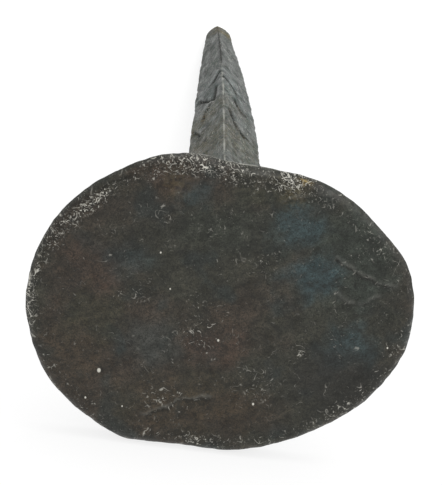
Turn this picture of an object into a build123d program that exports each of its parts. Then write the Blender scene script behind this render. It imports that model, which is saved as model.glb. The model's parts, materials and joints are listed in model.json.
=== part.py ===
"""Rail spike: one hand-forged bar of iron, upset at one end into a wide oval head.

The spike lies on a surface as it would on a bench. It rests on a flat stretch of its head's rim and
on the low corner of its shank beside the point, so its axis falls a little from head to point.
+Y runs from the head to the point and +Z is up. The origin is on the surface, below the middle of
the spike's box. All sizes are in millimetres.
"""

import os
from math import atan2, cos, degrees, sin, sqrt

from build123d import *

# ---- Driving dimensions ----
overall_length = 140.0  # from the struck face to the point
head_thickness = 3.6
face_bulge = 0.5  # how far the middle of the struck face stands proud of its edge
struck_edge_radius = 1.1
back_edge_bevel = 0.6
throat_radius = 1.8  # fillet where the shank leaves the head
corner_share = 0.09  # radius of the shank's four corners, as a share of its side
tolerance = 0.01  # how closely an edge has to lie in a plane to be picked

# Outline of the head as seen from the struck side, with the shank's ridge straight up. It is an
# oval spread by the hammer: highest left of the middle, and flatter at its right end. It starts
# with the one flat stretch of the rim, at the bottom left, and goes on anticlockwise.
flat_start = (-9.7, -15.65)
flat_end = (0.7, -16.95)
head_outline = [
    flat_start,
    (-6.2, -16.0875),
    (-2.8, -16.5125),
    flat_end,
    (7.3, -15.9),
    (13.2, -13.4),
    (18.3, -8.8),
    (20.8, -4.1),
    (21.2, -1.0),
    (20.6, 3.35),
    (18.6, 6.6),
    (15.0, 10.4),
    (11.0, 13.1),
    (5.4, 14.6),
    (0.6, 15.55),
    (-3.7, 16.35),
    (-8.7, 15.35),
    (-13.0, 13.25),
    (-17.1, 9.85),
    (-19.95, 5.1),
    (-21.0, 0.3),
    (-20.15, -5.3),
    (-17.5, -10.2),
    (-13.8, -13.5),
]

# Sections of the shank: how far behind the struck face, side of the square, and how far its centre
# stands to the right. The shank is thickest at the throat, bows out gently, and leans a little.
shank_sections = [
    (head_thickness / 2, 8.95, 0.80),
    (22.0, 7.70, 0.74),
    (44.0, 7.05, 0.67),
    (67.0, 6.45, 0.60),
    (86.0, 5.70, 0.53),
    (102.0, 4.85, 0.34),
    (116.0, 3.95, 0.12),
    (128.0, 2.95, -0.08),
    (136.0, 1.90, -0.16),
    (overall_length, 0.55, -0.25),
]

# ---- How the spike lies ----
# It is turned about its axis until the flat of the rim is level.
flat_angle = atan2(flat_end[1] - flat_start[1], flat_end[0] - flat_start[0])
# Its two supports, each as a depth behind the struck face and a reach below the spike's axis.
rim_depth = head_thickness - back_edge_bevel
rim_reach = flat_end[0] * sin(flat_angle) - flat_end[1] * cos(flat_angle)
point_depth, point_side, _ = shank_sections[-2]
point_reach = point_side / sqrt(2)
fall_angle = atan2(rim_reach - point_reach, point_depth - rim_depth)

# The plane of the struck face, whose normal points out of the head.
face_plane = Plane.XZ.rotated((-degrees(fall_angle), degrees(flat_angle), 0))


def plane_behind_face(depth):
    """The plane parallel to the struck face, this far towards the point."""
    return face_plane.offset(-depth)


with BuildPart() as rail_spike:
    # Head: a plate of the outline's shape, its struck side cut to a very shallow dome.
    with BuildSketch(plane_behind_face(head_thickness)):
        with BuildLine():
            Spline(*head_outline, periodic=True)
        make_face()
    extrude(amount=head_thickness)
    half_width = max(x for x, _ in head_outline)
    dome_radius = (half_width**2 + face_bulge**2) / (2 * face_bulge)
    with Locations(plane_behind_face(dome_radius).origin):
        Sphere(dome_radius, mode=Mode.INTERSECT)
    towards_point = Axis(face_plane.origin, -face_plane.z_dir)
    fillet(rail_spike.faces().sort_by(towards_point)[0].edges(), struck_edge_radius)
    chamfer(rail_spike.faces().sort_by(towards_point)[-1].edges(), back_edge_bevel)

    # Shank: squares that stand on one corner, drawn down to a blunt point.
    for depth, side, offset in shank_sections:
        with BuildSketch(plane_behind_face(depth)):
            with Locations((offset, 0)):
                RectangleRounded(side, side, side * corner_share, rotation=45)
    loft()

    # Throat: round the corner between the underside of the head and the shank.
    underside_edges = rail_spike.edges().filter_by_position(
        towards_point, head_thickness - tolerance, head_thickness + tolerance
    )
    throat_edges = underside_edges.sort_by(SortBy.LENGTH)[:-1]  # the longest is the rim's
    fillet(throat_edges, throat_radius)

# Set the spike on the surface, with the origin below the middle of its box.
box = rail_spike.part.bounding_box()
rail_spike.part.position = (-box.center().X, -box.center().Y, -box.min.Z)
rail_spike.part.label = "rail_spike"

os.makedirs("parts", exist_ok=True)
export_step(rail_spike.part, "parts/rail_spike.step")
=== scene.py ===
import json
import math

import bpy
import numpy as np
from mathutils import Matrix, Vector, noise
from mathutils.bvhtree import BVHTree


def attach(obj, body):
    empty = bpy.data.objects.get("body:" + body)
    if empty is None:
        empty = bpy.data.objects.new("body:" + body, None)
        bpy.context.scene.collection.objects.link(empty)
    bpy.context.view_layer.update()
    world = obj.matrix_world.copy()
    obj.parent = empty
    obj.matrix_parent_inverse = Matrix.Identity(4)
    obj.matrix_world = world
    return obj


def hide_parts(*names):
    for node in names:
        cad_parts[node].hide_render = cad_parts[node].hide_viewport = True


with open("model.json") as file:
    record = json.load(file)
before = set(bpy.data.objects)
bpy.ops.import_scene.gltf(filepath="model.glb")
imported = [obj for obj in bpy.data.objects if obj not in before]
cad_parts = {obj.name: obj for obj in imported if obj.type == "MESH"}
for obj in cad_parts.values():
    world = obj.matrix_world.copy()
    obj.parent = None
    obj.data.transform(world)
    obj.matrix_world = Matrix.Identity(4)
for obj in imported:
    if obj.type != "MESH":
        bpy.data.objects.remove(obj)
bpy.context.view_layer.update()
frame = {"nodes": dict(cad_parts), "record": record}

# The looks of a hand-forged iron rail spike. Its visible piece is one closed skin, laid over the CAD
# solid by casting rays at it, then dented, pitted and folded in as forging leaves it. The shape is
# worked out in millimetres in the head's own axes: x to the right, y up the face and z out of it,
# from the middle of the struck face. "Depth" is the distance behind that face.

MM = 0.001

# ---- Driving dimensions, in millimetres ----
spike_length = 140.0
head_thickness = 3.6
rim_half = head_thickness / 2
throat_radius = 1.8
throat_offset = 0.8  # the shank's centre stands this far right of the head's, at the throat
throat_depth = head_thickness + throat_radius  # where the fillet under the head ends

# ---- How finely the skin is divided ----
head_columns = 512
shank_columns = 128
face_rows = 76
rim_rows = 18
underside_rows = 22
throat_rows = 7
shank_rows = 350
corner_crowding = 0.6  # 0 spaces the shank's columns evenly, 1 draws them all to its corners
# Rows nearer the axis have fewer points. Up to each share of the way, outwards over the face and
# inwards over the underside, a row has a point on one column in so many.
face_thinning = [(0.22, 4), (0.45, 2), (1.00, 1)]
underside_thinning = [(0.30, 1), (0.60, 2), (1.00, 4)]
last_row_gap = 0.4  # the shank's last full row stands this far before its end
end_rows = (0.75, 0.40)  # the rows that close the end, each as a share of the one before
# Rays start this far out, clear of everything that they aren't aimed at.
far_from_head = 60.0
far_from_shank = 15.0
far_across_shank = 20.0

# ---- Dents, in millimetres ----
# Uneven surfaces: how high, how far across, octaves and seed.
head_swell = (0.10, 9.0, 2, 3)
rim_batter = (0.11, 3.6, 2, 5)
rim_chips = (0.05, 1.3, 2, 8)
underside_scale = (0.08, 2.2, 3, 9)
grain_wobble = (2.0, 7.0, 2, 10)
hammer_flats = (0.12, 6.0, 2, 11)
drawn_streaks = (0.045, 1.5, 3, 12)
shank_scale = (0.08, 2.0, 3, 13)
fine_scale = (0.022, 0.9, 3, 20)
fold_wander = (0.9, 1.8, 3, 31)
crease_wander = (0.35, 1.2, 3, 33)
# The hammer's bowls in the struck face: how many, their radii and their depths.
bowl_count = 34
bowl_radii = (3.5, 7.5)
bowl_depths = (0.07, 0.17)
bowls_reach = (20, 15)  # how far across, and up or down, their middles can lie
# Single marks.
nick_depth = 0.16
fold_depth = 0.24
fold_lip_height = 0.20
crease_depth = 0.10
pit_depth = 0.06
deepest_dent = 0.6
highest_bump = 0.12
# Near the point the shank's ridge is worn low and its sides are spread, as shares of its size.
ridge_wear = 0.3
ridge_wear_at_point = 0.2
point_spread = 0.18

# ---- Marks that stand in one place ----
# Cold shuts, where the hammer folded a thin lip of iron over. Each is a line of points on one of
# the upper faces of the shank: how far across it, from 0 at the ridge to -1 or 1 at the left or
# right corner, and the depth.
folds = [
    [(-0.10, 98.0), (-0.37, 94.0), (-0.50, 93.0)],
    [(-0.23, 89.5), (-0.32, 83.0), (-0.52, 85.5), (-0.80, 90.0)],
    [(-0.45, 82.5), (-0.62, 78.5), (-0.66, 74.0), (-0.80, 73.0)],
    [(-0.70, 70.0), (-0.95, 76.5)],
    [(0.03, 94.0), (0.33, 91.0), (0.45, 89.0)],
    [(0.38, 84.0), (0.51, 79.5), (0.69, 78.5)],
    [(0.20, 74.0), (0.37, 68.0), (0.60, 66.0)],
]
random_folds = 26  # this many more are scattered over the rest of the shank
# Shallow creases in the face, each painted dark as shadow with a painted highlight on its lip: a line
# of points, and how strong it is.
creases = [
    ([(12.7, 4.9), (14.2, 4.0), (15.8, 2.8), (18.8, 1.7)], 0.9),
    ([(12.9, 0.9), (13.7, 0.1), (15.6, -0.2), (17.2, 0.7)], 0.6),
    ([(-8.0, -12.7), (-5.3, -11.5), (-4.0, -10.8), (-1.2, -10.7)], 0.9),
    ([(-4.4, -9.4), (-4.1, -11.0), (-4.6, -13.0)], 0.5),
    ([(7.0, 11.4), (9.2, 12.0), (12.0, 12.2)], 0.6),
]
# Bright specks on the face: place and width.
specks = [
    ((-13.1, -7.5), 0.42),
    ((-0.1, -4.0), 0.26),
    ((3.7, -11.3), 0.26),
    ((-14.6, -10.6), 0.22),
    ((18.3, -5.0), 0.20),
    ((-6.3, 5.9), 0.20),
    ((-5.3, 1.8), 0.18),
    ((-10.6, -11.6), 0.18),
]
# Where scratches crowd along the rim: direction and spread in degrees, strength.
rim_clusters = [
    (138, 10, 1.00),
    (156, 9, 0.70),
    (177, 10, 0.90),
    (106, 14, 0.75),
    (84, 12, 0.70),
    (60, 8, 1.10),
    (38, 9, 0.15),
    (20, 14, 0.25),
    (320, 24, 0.30),
    (262, 14, 0.40),
]
rim_everywhere = 0.20  # the strength all round, which those add to
# Where they crowd on the face: place, size, strength.
face_clusters = [
    ((-9.3, 1.2), 1.2, 0.30),
    ((-2.1, 0.1), 1.6, 0.40),
    ((-2.4, -3.2), 2.2, 0.55),
    ((4.7, 4.6), 1.2, 0.45),
    ((-6.9, -11.2), 2.2, 0.40),
    ((-6.1, 9.9), 1.5, 0.12),
    ((-0.4, 8.8), 1.0, 0.55),
    ((9.1, -5.3), 0.9, 0.60),
    ((4.2, -9.0), 2.0, 0.45),
    ((14.0, 10.8), 0.8, 0.40),
    ((15.4, 6.0), 1.0, 0.30),
]
# Rust that shows through the scale: place, size, strength.
rust_spots = [
    ((9.3, 13.6, -1.2), 0.65, 1.0),
    ((8.0, 12.0, 0.0), 1.3, 0.15),
    ((-4.6, 13.6, 0.0), 1.5, 0.12),
    ((-2.4, 1.6, -77.0), 5.0, 0.22),
    ((-3.0, 1.5, -60.0), 10.0, 0.20),
    ((1.2, 0.6, -133.0), 2.2, 0.55),
    ((-0.3, 0.8, -138.0), 2.0, 0.45),
]

# ---- Colours ----
brown_scale = (0.029, 0.021, 0.015)
olive_scale = (0.022, 0.021, 0.015)
cool_scale = (0.015, 0.019, 0.018)
rim_scale = (0.014, 0.017, 0.012)
# Painted sheen: the shank's faces, seen aslant, painted greyer and greener than the head.
shank_sheen_grey = (0.021, 0.029, 0.024)
lip_blue = (0.024, 0.042, 0.042)
# Near black: painted shadow in the folds' cuts and the face's creases, and darkening in the pits and
# along the ridge.
cut_and_shadow_black = (0.004, 0.0035, 0.003)
grime_black = (0.006, 0.005, 0.004)
rust_ochre = (0.33, 0.25, 0.11)
scratch_white = (0.62, 0.60, 0.53)
# Pale grey for the worn corners, and for painted highlights on the head's top back edge and the
# creases' lips.
bare_iron_and_highlight = (0.38, 0.38, 0.34)
blue_grey = (0.020, 0.035, 0.038)
red_brown = (0.036, 0.019, 0.013)
earth_brown = (0.033, 0.022, 0.011)
olive = (0.022, 0.022, 0.012)
sooty = (0.010, 0.009, 0.008)
green_grey = (0.019, 0.024, 0.019)
# Stains on the face, each over the last: centre, half width and half height, colour, strength.
stains = [
    ((14.5, 5.5), (7.5, 8.0), green_grey, 0.90),
    ((2.0, 8.5), (8.0, 3.5), green_grey, 0.50),
    ((8.4, 8.8), (3.3, 2.8), blue_grey, 0.85),
    ((10.6, 3.2), (3.0, 3.0), blue_grey, 0.95),
    ((14.2, -4.8), (3.4, 3.0), blue_grey, 0.85),
    ((-2.6, 12.6), (2.4, 1.8), blue_grey, 0.45),
    ((-7.5, -4.4), (3.8, 3.4), blue_grey, 0.35),
    ((-9.4, 5.0), (2.8, 2.4), blue_grey, 0.40),
    ((-5.4, 13.2), (3.0, 1.8), red_brown, 0.55),
    ((-0.5, -4.9), (4.6, 2.6), red_brown, 0.60),
    ((1.5, -12.6), (6.0, 3.0), red_brown, 0.45),
    ((-15.0, 3.5), (5.0, 5.0), red_brown, 0.45),
    ((-16.0, -5.5), (4.0, 5.0), earth_brown, 0.40),
    ((-3.0, -11.5), (10.0, 4.0), earth_brown, 0.60),
    ((-13.4, -1.0), (4.0, 3.4), olive, 0.60),
    ((6.0, 12.6), (5.0, 1.8), olive, 0.50),
    ((13.0, -8.5), (6.5, 4.5), sooty, 0.75),
    ((-8.5, 9.0), (5.0, 3.5), sooty, 0.35),
]
stain_wander = 5.5  # noise shifts a stain's edge by up to half of this, either way

# ---- Finish ----
# Mottling: size, seed, and how dark and how bright it makes the colour.
mottlings = [(2.2, 14.0, 0.70, 1.32), (0.22, 16.0, 0.45, 1.70)]
fibre_stretch = 0.28  # in fine noise drawn out along the shank, depth counts only this much
# Painted sheen: the face's faint streaks are slanting bands of painted sheen.
sheen_band_angle = 0.35  # the face's faint streaks rise to the right by this many radians
sheen_band_stretch = 0.22  # and along them, distance counts only this much
# Layers of short curly scratches: size of the curls, how wide a band of the noise each takes, seed.
scratch_layers = [(1.0, 0.022, 21.0), (1.4, 0.014, 27.0), (0.7, 0.030, 33.0)]
roughness_range = (0.38, 0.64)
rougher_rim = 0.32
rougher_rust = 0.70
smoother_lip = 0.06
specular_level = 0.42
specular_tint = (0.98, 1.0, 0.94)
grit_height = 0.12 * MM
fibre_height = 0.30 * MM

# ---- Studio ----
floor_half = 6.0
floor_grey = 0.24
floor_glow = 0.8
surround_left = 0.55  # how bright the surround is on the left, and on the right
surround_right = 1.05
lamp_place = (0.25, 0.15, 1.0)
lamp_size = 0.9
lamp_energy = 4.0
camera_distance = 390.0 * MM
camera_above_axis = math.radians(16.8)
seen_height = 52.5 * MM  # how much the picture shows at the head, from top to bottom
camera_aim = Vector((0.2, 6.8)) * MM  # the picture's middle, right of and above the face's middle


def smooth_step(low, high, value):
    """0 below low, 1 above high, and a smooth rise between. Low may be the larger."""
    share = np.clip((value - low) / (high - low), 0, 1)
    return share * share * (3 - 2 * share)


def bell(value, width):
    """1 at zero, falling away to nothing at about twice this width."""
    return np.exp(-((value / width) ** 2))


# ---- The head's axes and the CAD surface in them ----
def head_axes():
    """Matrix from millimetres in the head's axes to the frame."""
    mounts = {mount["name"]: mount for mount in frame["record"]["mounts"]}
    throat = Vector(mounts["shank"]["pos_m"])
    outward = -Vector(mounts["shank"]["axis"])
    rightward = (Vector(mounts["under_head"]["pos_m"]) - throat).normalized()
    upward = outward.cross(rightward)
    middle = throat - rightward * throat_offset * MM + outward * head_thickness * MM
    axes = Matrix((rightward, upward, outward)).transposed().to_4x4()
    return Matrix.Translation(middle) @ axes @ Matrix.Scale(MM, 4)


head_matrix = head_axes()


def cad_surface():
    """The CAD solid as a search tree, in the head's axes."""
    mesh = frame["nodes"]["rail_spike"].data
    to_head = head_matrix.inverted()
    corners = [to_head @ vertex.co for vertex in mesh.vertices]
    return BVHTree.FromPolygons(corners, [face.vertices[:] for face in mesh.polygons])


surface = cad_surface()
outwards = Vector((0, 0, 1))


def hit(origin, heading):
    """Where a ray meets the CAD surface."""
    return surface.ray_cast(origin, heading)[0]


def hit_face(x, y):
    """Where the struck face is, at this place in its plane."""
    return hit(Vector((x, y, far_from_head)), -outwards)


def hit_underside(point):
    """Where the head's underside is, in line with this point."""
    return hit(Vector((point.x, point.y, -far_from_head)), outwards)


def hit_end(point):
    """Where the shank's end is, in line with this point near it."""
    return hit(point - outwards * far_from_head, outwards)


# ---- The skin ----
def head_direction(share):
    """Direction in the face's plane after this share of a turn, evenly spaced."""
    angle = 2 * math.pi * share
    return Vector((math.cos(angle), math.sin(angle), 0))


def shank_direction(share):
    """The same round the square shank, whose corners are right, up, left and down. The directions
    follow its sides and crowd towards its corners."""
    quarter, along = divmod(4 * share, 1)
    crowded = (1 - math.cos(math.pi * along)) / 2
    along += corner_crowding * (crowded - along)
    angle = math.atan2(along, 1 - along) + quarter * math.pi / 2
    return Vector((math.cos(angle), math.sin(angle), 0))


rim_directions = [head_direction(j / head_columns) for j in range(head_columns)]
shank_directions = [shank_direction(j / shank_columns) for j in range(shank_columns)]


def shank_centre(depth):
    """The middle of the shank at this depth. It leans a little to one side."""
    level = Vector((0, 0, -depth))
    reach = Vector((far_across_shank, 0, 0))
    right = hit(level + reach, -reach)
    left = hit(level - reach, reach)
    return (right + left) / 2


def rim_centre(out):
    """The middle of the rim's thickness in this direction, half its thickness in from its edge."""
    mid_rim = Vector((0, 0, -rim_half))
    edge = hit(mid_rim + out * far_from_head, -out)
    return edge - out * rim_half


def throat_centre(axis, out):
    """The centre of the throat's fillet in this direction from the middle of the shank."""
    return hit(axis + out * far_from_shank, -out) + out * throat_radius


def column_step(share, thinning):
    """Every how many columns a row has a point."""
    return next(step for limit, step in thinning if share < limit)


def face_part(rim_centres):
    """The struck face, from its middle almost to the rim."""
    rows = [[hit_face(0, 0)]]
    for i in range(1, face_rows):
        share = i / face_rows
        step = column_step(share, face_thinning)
        centres = rim_centres[::step]
        rows.append([hit_face(centre.x * share, centre.y * share) for centre in centres])
    return rows


def rim_part(rim_centres):
    """Half a turn round the rim, from the face to the underside."""
    rows = []
    for i in range(rim_rows + 1):
        angle = math.pi * (0.5 - i / rim_rows)
        row = []
        for out, centre in zip(rim_directions, rim_centres):
            arm = out * math.cos(angle) + outwards * math.sin(angle)
            row.append(hit(centre + arm * far_from_head, -arm))
        rows.append(row)
    return rows


def underside_part(rim_centres, throat_centres):
    """The underside, from the rim to the throat."""
    rows = []
    for i in range(1, underside_rows):
        share = i / underside_rows
        step = column_step(share, underside_thinning)
        pairs = zip(rim_centres[::step], throat_centres[::step])
        rows.append([hit_underside(start.lerp(end, share)) for start, end in pairs])
    return rows


def throat_part(throat_centres):
    """A quarter turn round the fillet, from the underside to the shank."""
    step = head_columns // shank_columns
    rows = []
    for i in range(throat_rows):
        angle = math.pi / 2 * (1 + i / throat_rows)
        row = []
        for out, centre in zip(shank_directions, throat_centres[::step]):
            row.append(hit(centre, out * math.cos(angle) + outwards * math.sin(angle)))
        rows.append(row)
    return rows


def shank_part():
    """The shank and its end."""
    rows = []
    for depth in np.linspace(throat_depth, spike_length - last_row_gap, shank_rows):
        axis = shank_centre(depth)
        rows.append([hit(axis + out * far_from_shank, -out) for out in shank_directions])
    for share in end_rows:
        ends = [hit_end(axis.lerp(point, share)) for point in rows[-1]]
        rows.append([end or point for end, point in zip(ends, rows[-1])])
    rows.append([hit_end(axis)])
    return rows


def skin_rows():
    """Rows of points on the CAD surface, from the middle of the face to the point of the shank.
    Each row goes once round the axis, and its number of points halves or doubles from the last."""
    rim_centres = [rim_centre(out) for out in rim_directions]
    axis = shank_centre(throat_depth)
    round_shank = [shank_direction(j / head_columns) for j in range(head_columns)]
    throat_centres = [throat_centre(axis, out) for out in round_shank]
    rows = face_part(rim_centres)
    rows += rim_part(rim_centres)
    rows += underside_part(rim_centres, throat_centres)
    rows += throat_part(throat_centres)
    rows += shank_part()
    return rows


def stitch(first, second):
    """Faces between two rows of vertex numbers, each a closed ring or a single point."""
    if len(first) > len(second):
        return [face[::-1] for face in stitch(second, first)]
    count, ratio = len(first), len(second) // len(first)
    if count == 1:
        return [(first[0], second[j - 1], second[j]) for j in range(len(second))]
    faces = []
    for j in range(count):
        here, there = first[j], first[(j + 1) % count]
        run = [second[(j * ratio + k) % len(second)] for k in range(ratio + 1)]
        if ratio == 1:
            faces.append((here, run[0], run[1], there))
        else:
            faces += [(here, run[0], run[1]), (here, run[1], there), (there, run[1], run[2])]
    return faces


def skin_mesh():
    """The undented skin as a mesh in the head's axes."""
    points, faces, last = [], [], None
    for row in skin_rows():
        numbers = list(range(len(points), len(points) + len(row)))
        points += row
        if last:
            faces += stitch(last, numbers)
        last = numbers
    mesh = bpy.data.meshes.new("spike")
    mesh.from_pydata(points, [], faces)
    return mesh


# ---- Dents ----
def read(collection, name, width):
    """One property of every item of a mesh collection, as an array."""
    values = np.empty(len(collection) * width, np.float32)
    collection.foreach_get(name, values)
    return values.reshape(-1, width).astype(float)


def wave(points, size, octaves, seed):
    """Smooth noise of about -1 to 1 with features about this many millimetres across."""
    shift = Vector((seed, 2.7 * seed, -1.3 * seed))
    scaled = points / size
    return np.array([noise.fractal(Vector(point) + shift, 1.0, 2.0, octaves) for point in scaled])


def uneven(points, kind):
    """The height of one of the uneven surfaces listed above."""
    height, *features = kind
    return height * wave(points, *features)


class Places:
    """Where each vertex is, in the terms that the forging marks are described in."""

    def __init__(self, points):
        self.points = points
        self.x, self.y, z = points.T
        self.depth = -z
        self.radius = np.hypot(self.x, self.y)
        self.angle = np.arctan2(self.y, self.x)
        self.on_shank = smooth_step(head_thickness, head_thickness + 2.5, self.depth)
        self.on_head = 1 - self.on_shank
        self.on_face = smooth_step(1.6, 0.9, self.depth)
        self.on_rim = (1 - self.on_face) * smooth_step(3.55, 3.1, self.depth)
        self.find_inset()
        self.find_square()

    def find_inset(self):
        """Inset is the distance inwards from the head's silhouette, in its plane."""
        on_edge = (self.depth > 0) & (self.depth < head_thickness)
        slots = 360
        turn = (self.angle / (2 * math.pi)) % 1 * slots
        edge = np.zeros(slots)
        np.maximum.at(edge, turn[on_edge].astype(int), self.radius[on_edge])
        self.inset = np.interp(turn - 0.5, np.arange(slots), edge, period=slots) - self.radius

    def find_square(self):
        """Place on the square shank. Across is 0 on the upper and lower corners, -1 on the left and
        1 on the right. Off centre is how far right of the upper and lower corners a vertex is, side
        is the square's side, and corner is the distance to the nearest corner."""
        depths = np.linspace(6, spike_length - 1, 60)
        centres = [shank_centre(depth).x for depth in depths]
        self.off_centre = self.x - np.interp(self.depth, depths, centres)
        half_diagonal = np.abs(self.off_centre) + np.abs(self.y) + 1e-6
        self.side = half_diagonal * math.sqrt(2)
        self.across = self.off_centre / half_diagonal
        steepness = np.abs(self.across)
        self.corner = np.minimum(steepness, 1 - steepness) * self.side
        self.upper = self.y > 0


def distance_to(line, u, v):
    """Distance of points (u, v) from a line of points, and how far v is above it."""
    best = np.full(u.shape, 1e9)
    above = np.zeros(u.shape)
    for (u0, v0), (u1, v1) in zip(line, line[1:]):
        du, dv = u1 - u0, v1 - v0
        share = np.clip(((u - u0) * du + (v - v0) * dv) / (du * du + dv * dv), 0, 1)
        gap_u, gap_v = u - u0 - share * du, v - v0 - share * dv
        gap = np.hypot(gap_u, gap_v)
        nearer = gap < best
        best = np.where(nearer, gap, best)
        above = np.where(nearer, gap_v, above)
    return best, above


def random_fold(rng):
    """A fold somewhere on the shank, and whether it is on an upper face. The upper faces have
    their own folds beyond a depth of 60."""
    side_of = rng.choice((-1, 1))
    across = rng.uniform(0.05, 0.7)
    depth = rng.uniform(12, 128)
    upper = depth < 60 and rng.random() < 0.4
    length = rng.uniform(0.15, 0.4)
    slant = rng.uniform(4, 16)
    line = [(side_of * across, depth)]
    for _ in range(3):
        across += length / 3
        depth -= slant * length / 3 + rng.uniform(-0.7, 0.7)
        line.append((side_of * across, depth))
    return line, upper


def forged_folds(places, rng):
    """How deep the folds cut, and how high their lips stand."""
    lines = [(line, True) for line in folds]
    lines += [random_fold(rng) for _ in range(random_folds)]
    cut = np.zeros(len(places.depth))
    lip = np.zeros(len(places.depth))
    wander = uneven(places.points, fold_wander)
    for line, upper in lines:
        near = np.abs(places.depth - line[0][1]) < 25
        near &= (places.upper == upper) & (places.on_shank > 0.5)
        width = places.side[near]
        u = places.across[near] * width
        v = places.depth[near] + wander[near]
        scaled = [(across * width.mean(), depth) for across, depth in line]
        gap, above = distance_to(scaled, u, v)
        strength = 0.5 + 0.5 * np.clip(1 + wander[near], 0, 1)
        cut[near] = np.maximum(cut[near], strength * bell(gap, 0.30))
        lip[near] = np.maximum(lip[near], np.where(above > 0, np.exp(-gap / 2.5), 0))
    return cut * places.on_shank, lip * places.on_shank


def creased(places):
    """How near each vertex is to a crease in the face, and to the lip just above one, which takes a
    painted highlight.
    """
    wander = uneven(places.points, crease_wander)
    crease = np.zeros(len(wander))
    lip = np.zeros(len(wander))
    for line, strength in creases:
        gap, above = distance_to(line, places.x + wander, places.y - wander)
        crease = np.maximum(crease, strength * bell(gap, 0.26))
        lip = np.maximum(lip, strength * bell(gap, 0.45) * bell(above - 0.3, 0.2))
    return crease * places.on_face, lip * places.on_face


def hammer_bowls(places, rng):
    """Shallow overlapping bowls left by the hammer on the struck face."""
    deepest = np.zeros(len(places.depth))
    for _ in range(bowl_count):
        x, y = rng.uniform(np.negative(bowls_reach), bowls_reach)
        radius = rng.uniform(*bowl_radii)
        sink = rng.uniform(*bowl_depths)
        reach = np.hypot(places.x - x, places.y - y) / radius
        deepest = np.maximum(deepest, sink * np.clip(1 - reach**2, 0, 1))
    return deepest * places.on_face


def grain_of(places):
    """Coordinates that follow the drawn-out grain of the shank, which slants from the ridge back
    to the side corners. Noise in them makes slanting streaks, unlike on the upper and lower faces."""
    slant = places.depth + 1.7 * np.abs(places.across) * places.side
    slant += uneven(places.points, grain_wobble)
    return np.column_stack((slant, places.across * 9 + 19 * places.upper, places.depth / 4))


def dent_skin(mesh):
    """Moves the skin's vertices along their normals, and stores what the material needs."""
    rng = np.random.default_rng(7)
    points = read(mesh.vertices, "co", 3)
    normals = read(mesh.vertex_normals, "vector", 3)
    places = Places(points)
    head, shank = places.on_head, places.on_shank

    # Head: hammer bowls, a battered rim, a rougher underside and shallow creases.
    near_rim = smooth_step(3.4, 0.6, places.inset) * head
    crease, crease_lip = creased(places)
    move = -hammer_bowls(places, rng)
    move += uneven(points, head_swell) * head
    move += (uneven(points, rim_batter) + uneven(points, rim_chips)) * near_rim
    move += uneven(points, underside_scale) * smooth_step(3.0, 3.6, places.depth) * head
    move -= crease_depth * crease

    # Shank: long hammer flats, slanting streaks along the grain, folds and nicked corners, all
    # shallower where it is slim.
    grain = grain_of(places)
    cut, lip = forged_folds(places, rng)
    slim = np.clip(places.side / 7.0, 0.25, 1)
    nicks = np.clip(wave(points, 1.4, 2, 15), 0, 1) * bell(places.corner, 0.45)
    bumps = uneven(points, hammer_flats) + uneven(points, shank_scale) - nick_depth * nicks
    bumps += uneven(grain, drawn_streaks) * smooth_step(0.1, 1.2, places.corner)
    move += slim * (shank * bumps + fold_lip_height * lip - fold_depth * cut)

    # All over: fine scale and pits.
    pits = smooth_step(0.35, 0.75, wave(points, 1.1, 2, 22))
    move += uneven(points, fine_scale)
    move -= pit_depth * pits * (0.4 + 0.6 * np.maximum(near_rim, shank))
    dented = points + normals * np.clip(move, -deepest_dent, highest_bump)[:, None]

    # The point: its ridge worn low, its sides spread.
    lowered = ridge_wear * smooth_step(120, 134, places.depth)
    lowered += ridge_wear_at_point * smooth_step(134, 140, places.depth)
    dented[:, 1] *= 1 - lowered * places.upper
    dented[:, 0] += places.off_centre * point_spread * smooth_step(128, 137, places.depth)
    mesh.vertices.foreach_set("co", dented.ravel().astype(np.float32))

    dark_ridge = bell(places.off_centre, 0.20) * places.upper * smooth_step(98, 106, places.depth)
    stored = {
        "at": points,
        "grain": grain,
        "shank": shank,
        "face": places.on_face,
        "rim": places.on_rim,
        # The cut mask holds the painted shadow of the folds' cuts and the face's creases, and the
        # darkening of the pits and of a line along the ridge near the point. It also makes them
        # rough.
        "cut": np.maximum.reduce((cut, 0.5 * pits, 0.8 * dark_ridge, 0.9 * crease)),
        "lip": lip,
        # The corner mask holds bare iron on the worn corners, and painted highlights on the head's
        # top back edge and on the creases' lips.
        "corner": np.maximum(worn_corners_and_highlight(places), 0.32 * crease_lip),
        "rust": rust(points),
        "scuffs": np.maximum(scratched(places), 0.5 * crease),
    }
    for name, values in stored.items():
        store(mesh, name, values)
    mesh.update()


def worn_corners_and_highlight(places):
    """Where edges are rubbed bare: the shank's corners, but not the upper one near the point. The
    back edge at the top of the head gets a pale line of painted highlight."""
    upper_ridge = places.upper & (np.abs(places.across) < 0.5)
    kept = np.where(upper_ridge, smooth_step(106, 90, places.depth), 0.6)
    on_shank = bell(places.corner, 0.15) * places.on_shank * kept
    # Painted highlight: a pale line along the back edge at the top of the head.
    from_top = places.angle - math.radians(82)
    on_rim = 1.1 * bell(places.depth - 2.9, 0.30) * places.on_head * bell(from_top, 0.35)
    return np.maximum(on_shank, on_rim)


def rust(points):
    """How rusty each vertex is."""
    amount = np.zeros(len(points))
    for place, size, strength in rust_spots:
        gap = np.linalg.norm(points - place, axis=1)
        amount = np.maximum(amount, strength * bell(gap, size))
    return amount


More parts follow.
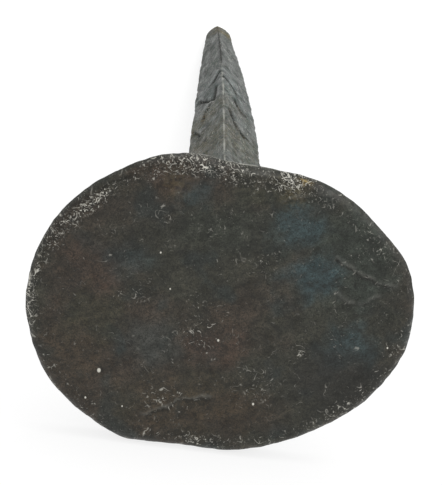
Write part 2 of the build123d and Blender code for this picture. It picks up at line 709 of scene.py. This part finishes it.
def scratched(places):
    """How thickly pale scratches crowd: in a band just inside the rim, which runs out to the edge
    at the left but leaves it clean at the upper left and upper right, and in a few clusters on the
    face."""
    degrees = np.degrees(places.angle) % 360
    at_left = bell(degrees - 174, 16)
    clean_edge = np.maximum(bell(degrees - 138, 14), bell(degrees - 28, 18))
    band = smooth_step(2.6 - at_left, 1.2 - 0.6 * at_left, places.inset)
    band *= smooth_step(3.4, 2.7, places.depth)
    band *= 1 - 0.7 * clean_edge * smooth_step(0.7, 0.15, places.inset)
    crowding = np.full(len(degrees), rim_everywhere)
    for middle, spread, strength in rim_clusters:
        gap = (degrees - middle + 180) % 360 - 180
        crowding += strength * bell(gap, spread)
    amount = band * crowding
    for (x, y), size, strength in face_clusters:
        gap = np.hypot(places.x - x, places.y - y)
        amount = np.maximum(amount, strength * bell(gap, size) * places.on_face)
    return amount * places.on_head


def store(mesh, name, values):
    """Keeps one number or one vector for each vertex, for the material."""
    kind, field = ("FLOAT", "value") if values.ndim == 1 else ("FLOAT_VECTOR", "vector")
    attribute = mesh.attributes.new(name, kind, "POINT")
    attribute.data.foreach_set(field, values.ravel().astype(np.float32))


# ---- Node trees ----
class Nodes:
    """Short names for the nodes that a material or the surround is built from."""

    def __init__(self, owner):
        owner.use_nodes = True
        self.tree = owner.node_tree

    def add(self, kind, inputs=(), output=0, **settings):
        """A new node with these settings and inputs. Gives one of its outputs."""
        node = self.tree.nodes.new(kind)
        for key, value in settings.items():
            setattr(node, key, value)
        self.fill(node, dict(inputs))
        return node.outputs[output]

    def fill(self, node, inputs):
        """Gives a node these inputs, each an output to link or a value to set."""
        for key, value in inputs.items():
            socket = node.inputs[key]
            if isinstance(value, bpy.types.NodeSocket):
                self.tree.links.new(value, socket)
            elif isinstance(value, tuple) and socket.type == "RGBA":
                socket.default_value = (*value, 1)
            else:
                socket.default_value = value

    def stored(self, name, output="Fac"):
        """A value kept on the mesh's vertices."""
        return self.add("ShaderNodeAttribute", output=output, attribute_name=name)

    def math(self, operation, first, second=0.0):
        return self.add("ShaderNodeMath", {0: first, 1: second}, operation=operation)

    def plus(self, first, second):
        return self.math("ADD", first, second)

    def times(self, first, second):
        return self.math("MULTIPLY", first, second)

    def vector(self, operation, first, second):
        return self.add("ShaderNodeVectorMath", {0: first, 1: second}, operation=operation)

    def length(self, vector):
        inputs = {0: vector}
        return self.add("ShaderNodeVectorMath", inputs, output="Value", operation="LENGTH")

    def rise(self, value, low, high, to_low=0.0, to_high=1.0):
        """Smoothly from to_low where value is low to to_high where it is high."""
        inputs = {"Value": value, 1: low, 2: high, 3: to_low, 4: to_high}
        return self.add("ShaderNodeMapRange", inputs, interpolation_type="SMOOTHSTEP")

    def noise(self, at, size, detail, seed, output=0, distortion=0.0):
        """Noise from 0 to 1 with features about this many millimetres across."""
        inputs = {
            "Vector": self.vector("ADD", at, (seed, seed, seed)),
            "Scale": 1 / size,
            "Detail": detail,
            "Distortion": distortion,
        }
        return self.add("ShaderNodeTexNoise", inputs, output)

    def mix(self, share, first, second, blend="MIX"):
        """First where share is 0, second where it is 1."""
        inputs = {"Factor": share, 6: first, 7: second}
        settings = {"data_type": "RGBA", "blend_type": blend}
        return self.add("ShaderNodeMix", inputs, output=2, **settings)

    def shade(self, colour, brightness):
        """This colour, made darker or brighter."""
        return self.mix(1.0, colour, brightness, "MULTIPLY")


class IronNodes(Nodes):
    """The same for the iron, with what is kept on the skin's vertices at hand."""

    def __init__(self, material):
        super().__init__(material)
        self.at = self.stored("at", "Vector")
        self.grain = self.stored("grain", "Vector")
        self.shank = self.stored("shank")
        self.face = self.stored("face")
        self.rim = self.stored("rim")
        self.cut = self.stored("cut")
        self.lip = self.stored("lip")
        self.corner = self.stored("corner")
        self.rust = self.stored("rust")
        self.scuffs = self.stored("scuffs")
        self.fibre = self.vector("MULTIPLY", self.at, (1.0, 1.0, fibre_stretch))

    def patina(self):
        """Broad brown and olive clouds under the face's stains and bands of painted sheen, the rim
        and the lips of its folds each in a tint of their own, and the shank greyer, as a painted
        sheen."""
        clouds = self.rise(self.noise(self.at, 9.0, 3.0, 4.0), 0.40, 0.60)
        colour = self.mix(clouds, brown_scale, olive_scale)
        cool = self.rise(self.noise(self.at, 4.5, 3.0, 9.0), 0.52, 0.66, 0.0, 0.8)
        colour = self.stained(self.mix(cool, colour, cool_scale))
        # Painted sheen: slanting bands across the face, brighter and darker.
        colour = self.mix(self.face, colour, self.shade(colour, self.painted_sheen_bands()))
        colour = self.mix(self.times(self.rim, 0.6), colour, rim_scale)
        # Painted sheen: the whole shank takes the greyer tint.
        colour = self.mix(self.shank, colour, shank_sheen_grey)
        return self.mix(self.times(self.lip, 0.6), colour, lip_blue)

    def stained(self, colour):
        """This colour under the stains on the face."""
        for (x, y), (width, height), stain, strength in stains:
            wander = self.noise(self.at, 2.6, 4.0, x, output=1)
            wander = self.vector("SUBTRACT", wander, (0.5, 0.5, 0.5))
            wander = self.vector("MULTIPLY", wander, (stain_wander, stain_wander, 0.0))
            shifted = self.vector("ADD", self.at, wander)
            offset = self.vector("SUBTRACT", shifted, (x, y, 0.0))
            scaled = self.vector("MULTIPLY", offset, (1 / width, 1 / height, 0.0))
            share = self.rise(self.length(scaled), 1.25, 0.35, 0.0, strength)
            colour = self.mix(self.times(share, self.face), colour, stain)
        return colour

    def painted_sheen_bands(self):
        """The brightness of slanting bands of painted sheen across the face."""
        inputs = {"Vector": self.at, "Angle": -sheen_band_angle}
        turned = self.add("ShaderNodeVectorRotate", inputs, rotation_type="Z_AXIS")
        drawn = self.vector("MULTIPLY", turned, (sheen_band_stretch, 1.0, 1.0))
        streaks = self.noise(drawn, 1.3, 4.0, 71.0, distortion=0.6)
        return self.rise(streaks, 0.32, 0.68, 0.82, 1.22)

    def mottled_and_shaded(self, colour):
        """This colour with mottling and streaks along the shank, and painted shadow in its cuts and
        creases.
        """
        for size, seed, dark, bright in mottlings:
            mottle = self.noise(self.fibre, size, 4.0, seed, distortion=1.2)
            colour = self.shade(colour, self.rise(mottle, 0.32, 0.68, dark, bright))
        streak = self.noise(self.grain, 1.6, 5.0, 3.0, distortion=0.8)
        streaked = self.shade(colour, self.rise(streak, 0.32, 0.68, 0.55, 1.6))
        colour = self.mix(self.shank, colour, streaked)
        # Painted shadow in the folds' cuts and the face's creases; the pits and a line along the
        # ridge are darkened too.
        return self.mix(self.times(self.cut, 0.9), colour, cut_and_shadow_black)

    def worn_and_highlighted(self, colour, marks):
        """This colour under rust, black grime among the scuffs, the pale marks, and bare metal on the
        rubbed corners, with the same pale grey as painted highlights on the head's top back edge and
        the creases' lips."""
        rusty = self.rise(self.noise(self.at, 0.5, 3.0, 45.0), 0.35, 0.60)
        colour = self.mix(self.times(self.rust, rusty), colour, rust_ochre)
        grime = self.noise(self.at, 0.4, 3.0, 47.0, distortion=0.8)
        grime = self.rise(grime, 0.45, 0.62, 0.0, 0.8)
        colour = self.mix(self.times(self.scuffs, grime), colour, grime_black)
        colour = self.mix(marks, colour, scratch_white)
        # Bare iron on the worn corners, and painted highlights on the head's top back edge and the
        # creases' lips.
        wear_and_highlight = self.rise(self.noise(self.fibre, 0.7, 3.0, 41.0), 0.32, 0.60, 0.1, 1.0)
        wear_and_highlight = self.times(self.times(self.corner, wear_and_highlight), 0.9)
        return self.mix(wear_and_highlight, colour, bare_iron_and_highlight)

    def pale_marks(self):
        """Scratches, crumbs of scale and bright specks, thick near the rim and sparse elsewhere."""
        marks = self.crumbs()
        for size, width, seed in scratch_layers:
            marks = self.math("MAXIMUM", marks, self.hairlines(size, width, seed))
        patchy = self.noise(self.fibre, 3.0, 3.0, 39.0)
        everywhere = self.rise(patchy, 0.40, 0.66, 0.05, 0.34)
        everywhere = self.plus(everywhere, self.times(self.shank, 0.25))
        marks = self.times(marks, self.plus(self.scuffs, everywhere))
        for (x, y), width in specks:
            offset = self.vector("SUBTRACT", self.fibre, (x, y, 0.0))
            flat = self.vector("MULTIPLY", offset, (1.0, 0.8, 0.0))
            speck = self.rise(self.length(flat), width * 0.6, width * 0.3)
            marks = self.math("MAXIMUM", marks, self.times(speck, self.face))
        return marks

    def crumbs(self):
        """Crumbs of pale scale, more of them among the scuffs and on the shank."""
        crumbs = self.noise(self.fibre, 0.20, 2.0, 37.0, distortion=1.0)
        crumbs = self.plus(crumbs, self.times(self.scuffs, 0.10))
        crumbs = self.plus(crumbs, self.times(self.shank, 0.09))
        return self.rise(crumbs, 0.66, 0.80, 0.0, 0.7)

    def hairlines(self, size, width, seed):
        """Short curly scratches: thin bands of a twisted noise, chopped up by another. They are
        more numerous among the scuffs, and some are fainter than others."""
        twist = self.noise(self.fibre, size * 1.2, 1.0, seed, output=1)
        twist = self.vector("MULTIPLY", twist, (size, size, size))
        height = self.noise(self.vector("ADD", self.fibre, twist), size * 1.5, 1.0, seed)
        line = self.math("ABSOLUTE", self.math("SUBTRACT", height, 0.5))
        line = self.rise(line, width, 0.0)
        gate = self.noise(self.fibre, size * 0.7, 1.0, seed + 2.0, distortion=0.6)
        gate = self.plus(gate, self.times(self.scuffs, 0.15))
        line = self.times(line, self.rise(gate, 0.60, 0.70))
        faint = self.noise(self.fibre, size, 1.0, seed + 5.0)
        return self.times(line, self.rise(faint, 0.35, 0.62, 0.15, 1.0))

    def roughness(self):
        """Uneven, smoother on the lips of folds, rougher on the rim, in rust and in cuts."""
        rough = self.noise(self.fibre, 1.0, 4.0, 50.0)
        rough = self.rise(rough, 0.3, 0.7, *roughness_range)
        rough = self.math("SUBTRACT", rough, self.times(self.lip, smoother_lip))
        rough = self.plus(rough, self.times(self.rim, rougher_rim))
        rough = self.plus(rough, self.times(self.rust, rougher_rust))
        return self.math("MAXIMUM", rough, self.cut)

    def relief(self, marks):
        """Grit all over, with the marks standing in it, and fibres and ribs along the shank."""
        grit = self.noise(self.at, 0.5, 5.0, 60.0, distortion=0.8)
        grit = self.plus(grit, self.times(marks, 0.5))
        inputs = {"Height": grit, "Strength": 0.6, "Distance": grit_height}
        gritty = self.add("ShaderNodeBump", inputs)
        fibres = self.noise(self.fibre, 0.38, 5.0, 62.0, distortion=0.8)
        ribs = self.noise(self.grain, 2.0, 4.0, 64.0, distortion=0.8)
        drawn = self.times(self.plus(fibres, self.times(ribs, 0.8)), self.shank)
        inputs = {"Height": drawn, "Normal": gritty, "Strength": 0.9, "Distance": fibre_height}
        return self.add("ShaderNodeBump", inputs)


# ---- Building the piece ----
def iron_material():
    """Black forge scale gone brown and olive, with pale scuffs, bare rubbed corners, and painted
    shade, highlights and sheen.
    """
    material = bpy.data.materials.new("forged_iron")
    nodes = IronNodes(material)
    marks = nodes.pale_marks()
    look = {
        "Base Color": nodes.worn_and_highlighted(nodes.mottled_and_shaded(nodes.patina()), marks),
        "Roughness": nodes.roughness(),
        "Specular IOR Level": specular_level,
        "Specular Tint": specular_tint,
        "Normal": nodes.relief(marks),
    }
    nodes.fill(nodes.tree.nodes["Principled BSDF"], look)
    return material


def add_object(name, data):
    """A new object in the scene."""
    added = bpy.data.objects.new(name, data)
    bpy.context.scene.collection.objects.link(added)
    return added


def build_spike():
    """The one visible piece."""
    mesh = skin_mesh()
    dent_skin(mesh)
    mesh.transform(head_matrix)
    mesh.shade_smooth()
    mesh.materials.append(iron_material())
    spike = add_object("spike", mesh)
    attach(spike, "root")
    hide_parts("rail_spike")


# ---- Studio ----
def floor_material():
    """Pale and matt. It glows a little, so that shadows on it stay faint."""
    material = bpy.data.materials.new("floor")
    nodes = Nodes(material)
    look = {
        "Base Color": (floor_grey, floor_grey, floor_grey),
        "Roughness": 1.0,
        "Specular IOR Level": 0.0,
        "Emission Color": (1.0, 1.0, 1.0),
        "Emission Strength": floor_glow,
    }
    nodes.fill(nodes.tree.nodes["Principled BSDF"], look)
    return material


def build_floor():
    """A wide square under the spike."""
    half = floor_half
    corners = [(-half, -half, 0), (half, -half, 0), (half, half, 0), (-half, half, 0)]
    mesh = bpy.data.meshes.new("floor")
    mesh.from_pydata(corners, [], [(0, 1, 2, 3)])
    mesh.materials.append(floor_material())
    floor = add_object("floor", mesh)


def build_surround():
    """Plain white to the camera, but its light is a little weaker from the left."""
    world = bpy.data.worlds.new("studio")
    nodes = Nodes(world)
    direction = nodes.add("ShaderNodeTexCoord", output="Generated")
    rightwards = nodes.add("ShaderNodeSeparateXYZ", {0: direction}, output="X")
    light = nodes.rise(rightwards, -0.5, 0.5, surround_left, surround_right)
    seen = nodes.add("ShaderNodeLightPath", output="Is Camera Ray")
    strength = nodes.add("ShaderNodeMix", {"Factor": seen, "A": light, "B": 1.0}, "Result")
    background = {"Color": (1.0, 1.0, 1.0), "Strength": strength}
    nodes.fill(nodes.tree.nodes["Background"], background)
    bpy.context.scene.world = world


def build_lamp():
    """A large soft lamp overhead that shines straight down."""
    lamp = bpy.data.lights.new("overhead", "AREA")
    lamp.shape = "DISK"
    lamp.size = lamp_size
    lamp.energy = lamp_energy
    overhead = add_object("overhead", lamp)
    overhead.location = lamp_place


def build_camera():
    """Looks along the spike from in front of its head, a little above its axis."""
    middle = head_matrix.translation
    right, up_face, outward = (head_matrix.to_3x3().col[i].normalized() for i in range(3))
    toward = outward * math.cos(camera_above_axis) + up_face * math.sin(camera_above_axis)
    up = up_face * math.cos(camera_above_axis) - outward * math.sin(camera_above_axis)
    place = middle + toward * camera_distance
    back = (place - middle - right * camera_aim.x - up * camera_aim.y).normalized()
    side = up.cross(back).normalized()
    turned = Matrix((side, back.cross(side), back)).transposed().to_4x4()
    data = bpy.data.cameras.new("camera")
    data.lens = data.sensor_width * camera_distance / seen_height
    camera = add_object("camera", data)
    camera.matrix_world = Matrix.Translation(place) @ turned
    bpy.context.scene.camera = camera


build_spike()
build_floor()
build_surround()
build_lamp()
build_camera()
bpy.context.scene.view_settings.view_transform = "Standard"
